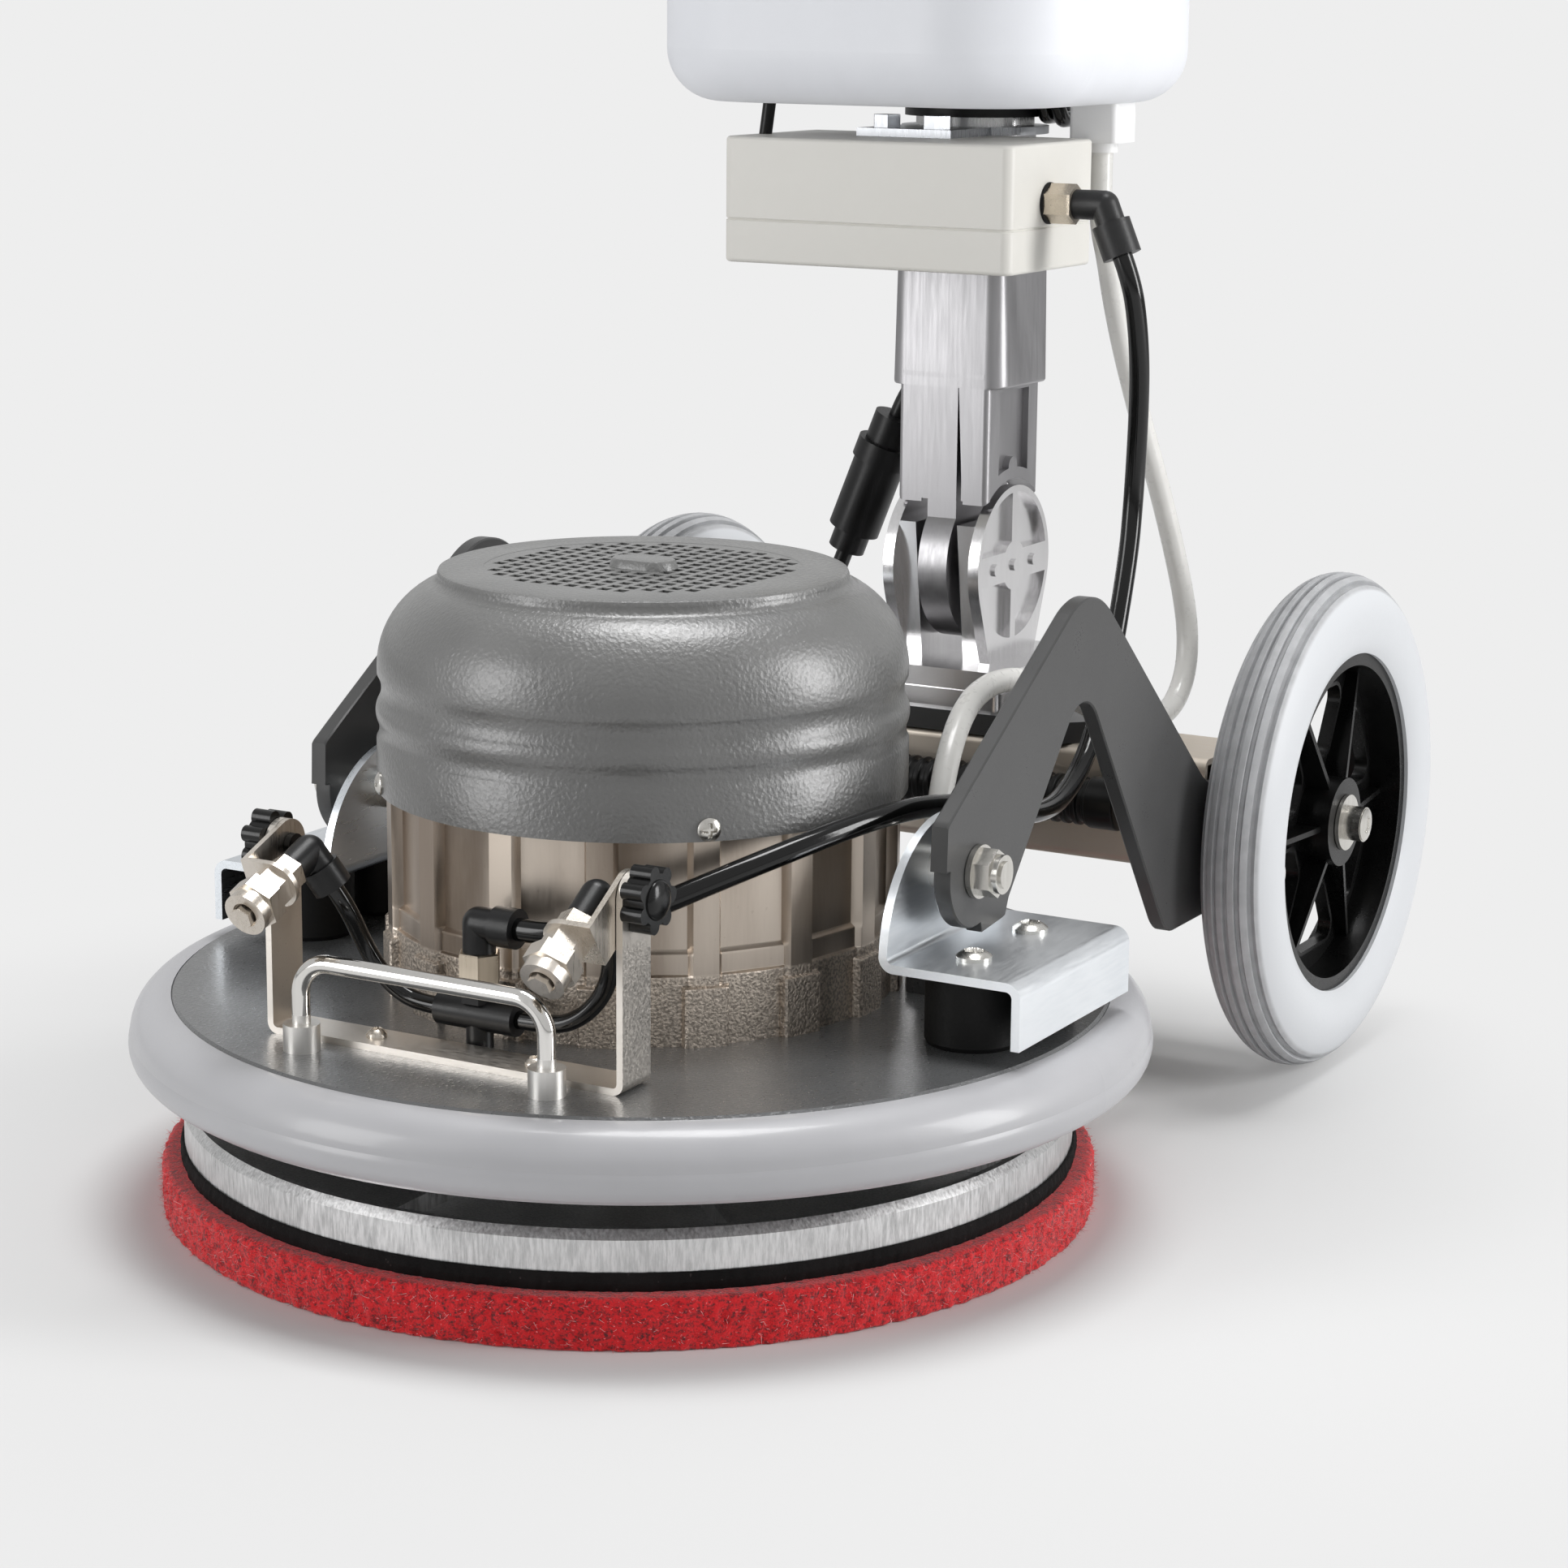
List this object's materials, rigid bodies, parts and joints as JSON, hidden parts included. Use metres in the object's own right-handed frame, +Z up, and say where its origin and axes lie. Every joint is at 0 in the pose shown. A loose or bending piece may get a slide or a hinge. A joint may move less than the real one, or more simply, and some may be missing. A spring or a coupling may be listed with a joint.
{
  "type": "orbital floor machine",
  "caption": "Walk-behind orbital floor machine: motor on a round bumpered deck over a red pad, spray nozzles in front, wheeled pivot frame and tilting mast with tank and handle.",
  "frame": {"origin": "on the floor under the motor axis, in the plane of the pad's working face", "axes": "+Z up along the motor axis; +Y to the back, where the wheels and the mast are; +X to the right as seen from the front, along the axle"},
  "size_m": [0.4708, 0.7213, 1.049],
  "materials": {
    "pad_red": "non-woven scouring pad",
    "hook_black": "hook-and-loop layer",
    "plate_steel": "turned plate",
    "bearing_steel": "ground",
    "deck_grey": "hammer-textured paint",
    "bumper_grey": "soft matt",
    "motor_cast": "sand cast",
    "cover_grey": "wrinkle paint",
    "fan_plastic": "moulded",
    "chrome_rod": "polished",
    "bracket_stainless": "bent strip",
    "nozzle_nickel": "nickel plate",
    "fitting_black": "moulded",
    "tee_brass": "dulled",
    "zinc_sheet": "zinc plate",
    "buffer_rubber": "matt",
    "arm_black": "satin powder coat",
    "tyre_grey": "non-marking",
    "rim_black": "moulded",
    "beam_steel": "satin",
    "cast_polished": "polished casting",
    "box_cream": "moulded",
    "tank_white": "rotation moulded",
    "tube_steel": "satin chrome tube",
    "hose_black": "smooth",
    "hose_clear": "milky clear",
    "outlet_white": "moulded",
    "conduit_black": "corrugated",
    "head_grey": "moulded",
    "cap_black": "moulded"
  },
  "bodies": {
    "deck": {"deck_housing": "deck_grey", "bumper_ring": "bumper_grey", "motor_body": "motor_cast", "motor_bearings": "bearing_steel", "fan_cover": "cover_grey", "terminal_box": "cover_grey", "carry_handle": "chrome_rod", "nozzle_bracket": "bracket_stainless", "spray_tee": "tee_brass", "pivot_brackets": "zinc_sheet", "rubber_buffers": "buffer_rubber", "buffer_screws": "plate_steel", "pivot_bolts": "plate_steel", "nozzle_hose_left": "hose_black", "nozzle_hose_right": "hose_black"},
    "rotor": {"rotor": "bearing_steel", "cooling_fan": "fan_plastic", "eccentric_hub": "bearing_steel"},
    "pad_driver": {"pad_bearing": "bearing_steel", "drive_plate": "plate_steel", "hook_layer": "hook_black", "floor_pad": "pad_red"},
    "frame": {"arm_left": "arm_black", "arm_right": "arm_black", "crossbeam": "beam_steel", "base_plate": "beam_steel", "clevis": "cast_polished", "hinge_pin": "plate_steel", "axle": "plate_steel", "conduit": "conduit_black", "lead_connector": "fitting_black", "spray_hose_lower": "hose_black", "dosing_hose_lower": "hose_clear", "motor_lead_lower": "hose_black"},
    "wheel_left": {"tyre_left": "tyre_grey", "rim_left": "rim_black"},
    "wheel_right": {"tyre_right": "tyre_grey", "rim_right": "rim_black"},
    "mast": {"mast_foot": "cast_polished", "mast_tongue": "cast_polished", "pump_base": "box_cream", "pump_cover": "box_cream", "spray_pump": "fitting_black", "mount_plate": "plate_steel", "pump_elbow": "fitting_black", "steering_tube": "tube_steel", "tank": "tank_white", "tank_outlet": "outlet_white", "control_head": "head_grey", "spray_hose_upper": "hose_black", "dosing_hose_upper": "hose_clear", "motor_lead_upper": "hose_black"},
    "tank_cap": {"tank_cap": "cap_black"},
    "switch_lever": {"switch_lever": "cap_black"},
    "nozzle_left": {"spray_nozzle_left": "nozzle_nickel", "nozzle_elbow_left": "fitting_black"},
    "nozzle_right": {"spray_nozzle_right": "nozzle_nickel", "nozzle_elbow_right": "fitting_black"},
    "knob_left": {"knob_left": "fitting_black"},
    "knob_right": {"knob_right": "fitting_black"}
  },
  "joints": [
    {"name": "drive_spin", "type": "hinge", "parent": "deck", "child": "rotor", "pos_m": [0, 0, 0.1], "axis": [0, 0, 1], "continuous": true},
    {"name": "pad_orbit", "type": "hinge", "parent": "rotor", "child": "pad_driver", "pos_m": [-0.007, 0, 0.04], "axis": [0, 0, 1], "continuous": true},
    {"name": "frame_pivot", "type": "hinge", "parent": "deck", "child": "frame", "pos_m": [0, 0.003, 0.173], "axis": [1, 0, 0], "range_deg": [-12, 8], "deforming": ["spray_hose_lower", "dosing_hose_lower", "motor_lead_lower"]},
    {"name": "wheel_left_spin", "type": "hinge", "parent": "frame", "child": "wheel_left", "pos_m": [-0.19, 0.3574, 0.1285], "axis": [1, 0, 0], "continuous": true},
    {"name": "wheel_right_spin", "type": "hinge", "parent": "frame", "child": "wheel_right", "pos_m": [0.19, 0.3574, 0.1285], "axis": [1, 0, 0], "continuous": true},
    {"name": "mast_tilt", "type": "hinge", "parent": "frame", "child": "mast", "pos_m": [0, 0.325, 0.252], "axis": [-1, 0, 0], "range_deg": [0, 55], "deforming": ["spray_hose_upper", "dosing_hose_upper", "motor_lead_upper"]},
    {"name": "tank_cap_turn", "type": "hinge", "parent": "mast", "child": "tank_cap", "pos_m": [0, 0.245, 0.795], "axis": [0, 0, 1], "range_deg": [0, 90]},
    {"name": "lever_press", "type": "hinge", "parent": "mast", "child": "switch_lever", "pos_m": [0, 0.306, 0.991], "axis": [1, 0, 0], "range_deg": [0, 10], "stiffness_Nm_per_rad": 2, "springref_deg": -28.65},
    {"name": "nozzle_left_tilt", "type": "hinge", "parent": "deck", "child": "nozzle_left", "pos_m": [-0.0732, -0.153, 0.185], "axis": [1, 0, 0], "range_deg": [-15, 18], "deforming": ["nozzle_hose_left"]},
    {"name": "nozzle_right_tilt", "type": "hinge", "parent": "deck", "child": "nozzle_right", "pos_m": [0.0732, -0.153, 0.185], "axis": [1, 0, 0], "range_deg": [-25, 8], "deforming": ["nozzle_hose_right"]},
    {"name": "knob_left_turn", "type": "hinge", "parent": "deck", "child": "knob_left", "pos_m": [-0.095, -0.153, 0.185], "axis": [1, 0, 0], "continuous": true},
    {"name": "knob_right_turn", "type": "hinge", "parent": "deck", "child": "knob_right", "pos_m": [0.095, -0.153, 0.185], "axis": [1, 0, 0], "continuous": true}
  ],
  "couplings": [
    {"joint": "pad_orbit", "follows": "drive_spin", "ratio": -1}
  ]
}
